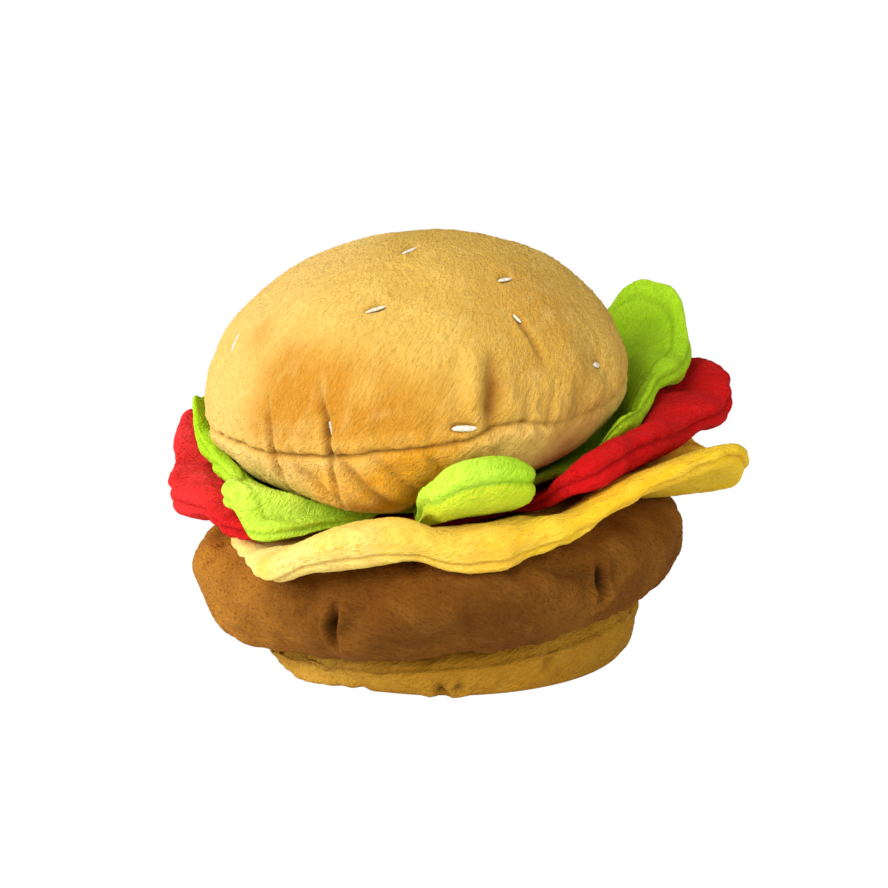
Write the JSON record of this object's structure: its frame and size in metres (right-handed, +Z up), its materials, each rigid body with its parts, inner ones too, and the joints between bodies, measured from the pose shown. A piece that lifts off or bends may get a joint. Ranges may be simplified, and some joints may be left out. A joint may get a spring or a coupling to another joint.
{
  "type": "plush toy hamburger",
  "caption": "Stuffed plush toy in the shape of a hamburger: seeded bun halves, patty and thin cheese, tomato and lettuce slices that lift apart.",
  "frame": {"origin": "middle of the flat base of the bottom bun, on the surface it stands on", "axes": "+Z up, +X to the right of the front view, +Y to the back; the stack leans towards -X"},
  "size_m": [0.1572, 0.1512, 0.1163],
  "materials": {
    "heel_plush": "short plush pile",
    "patty_plush": "short plush pile",
    "cheese_plush": "short plush pile",
    "tomato_plush": "short plush pile",
    "lettuce_plush": "short plush pile",
    "crown_plush": "short plush pile",
    "underside_plush": "short plush pile",
    "seed_thread": "satin-stitch thread",
    "fibre_filling": "loose polyester fibre",
    "hook_and_loop": "woven hook-and-loop tape"
  },
  "bodies": {
    "heel": {"heel_side_panel": "heel_plush", "heel_top_panel": "heel_plush", "heel_stuffing": "fibre_filling", "heel_hook_round": "hook_and_loop"},
    "patty": {"patty_top_panel": "patty_plush", "patty_base_panel": "patty_plush", "patty_stuffing": "fibre_filling", "patty_loop_round": "hook_and_loop", "patty_hook_round": "hook_and_loop"},
    "cheese": {"cheese_upper_sheet": "cheese_plush", "cheese_lower_sheet": "cheese_plush", "cheese_wadding": "fibre_filling", "cheese_loop_round": "hook_and_loop", "cheese_hook_round": "hook_and_loop"},
    "tomato": {"tomato_upper_sheet": "tomato_plush", "tomato_lower_sheet": "tomato_plush", "tomato_wadding": "fibre_filling", "tomato_loop_round": "hook_and_loop", "tomato_hook_round": "hook_and_loop"},
    "lettuce": {"lettuce_upper_sheet": "lettuce_plush", "lettuce_lower_sheet": "lettuce_plush", "lettuce_wadding": "fibre_filling", "lettuce_loop_round": "hook_and_loop", "lettuce_hook_round": "hook_and_loop"},
    "top_bun": {"bun_crown": "crown_plush", "bun_underside": "underside_plush", "bun_stuffing": "fibre_filling", "bun_loop_round": "hook_and_loop", "sesame_seeds": "seed_thread"}
  },
  "joints": [
    {"name": "patty_lift", "type": "slide", "parent": "heel", "child": "patty", "axis": [-0.1132, 0, 0.9936], "range_m": [0, 0.04]},
    {"name": "cheese_lift", "type": "slide", "parent": "patty", "child": "cheese", "axis": [-0.1132, 0, 0.9936], "range_m": [0, 0.04]},
    {"name": "tomato_lift", "type": "slide", "parent": "cheese", "child": "tomato", "axis": [-0.1132, 0, 0.9936], "range_m": [0, 0.04]},
    {"name": "lettuce_lift", "type": "slide", "parent": "tomato", "child": "lettuce", "axis": [-0.1132, 0, 0.9936], "range_m": [0, 0.04]},
    {"name": "bun_lift", "type": "slide", "parent": "lettuce", "child": "top_bun", "axis": [-0.1132, 0, 0.9936], "range_m": [0, 0.06]}
  ]
}
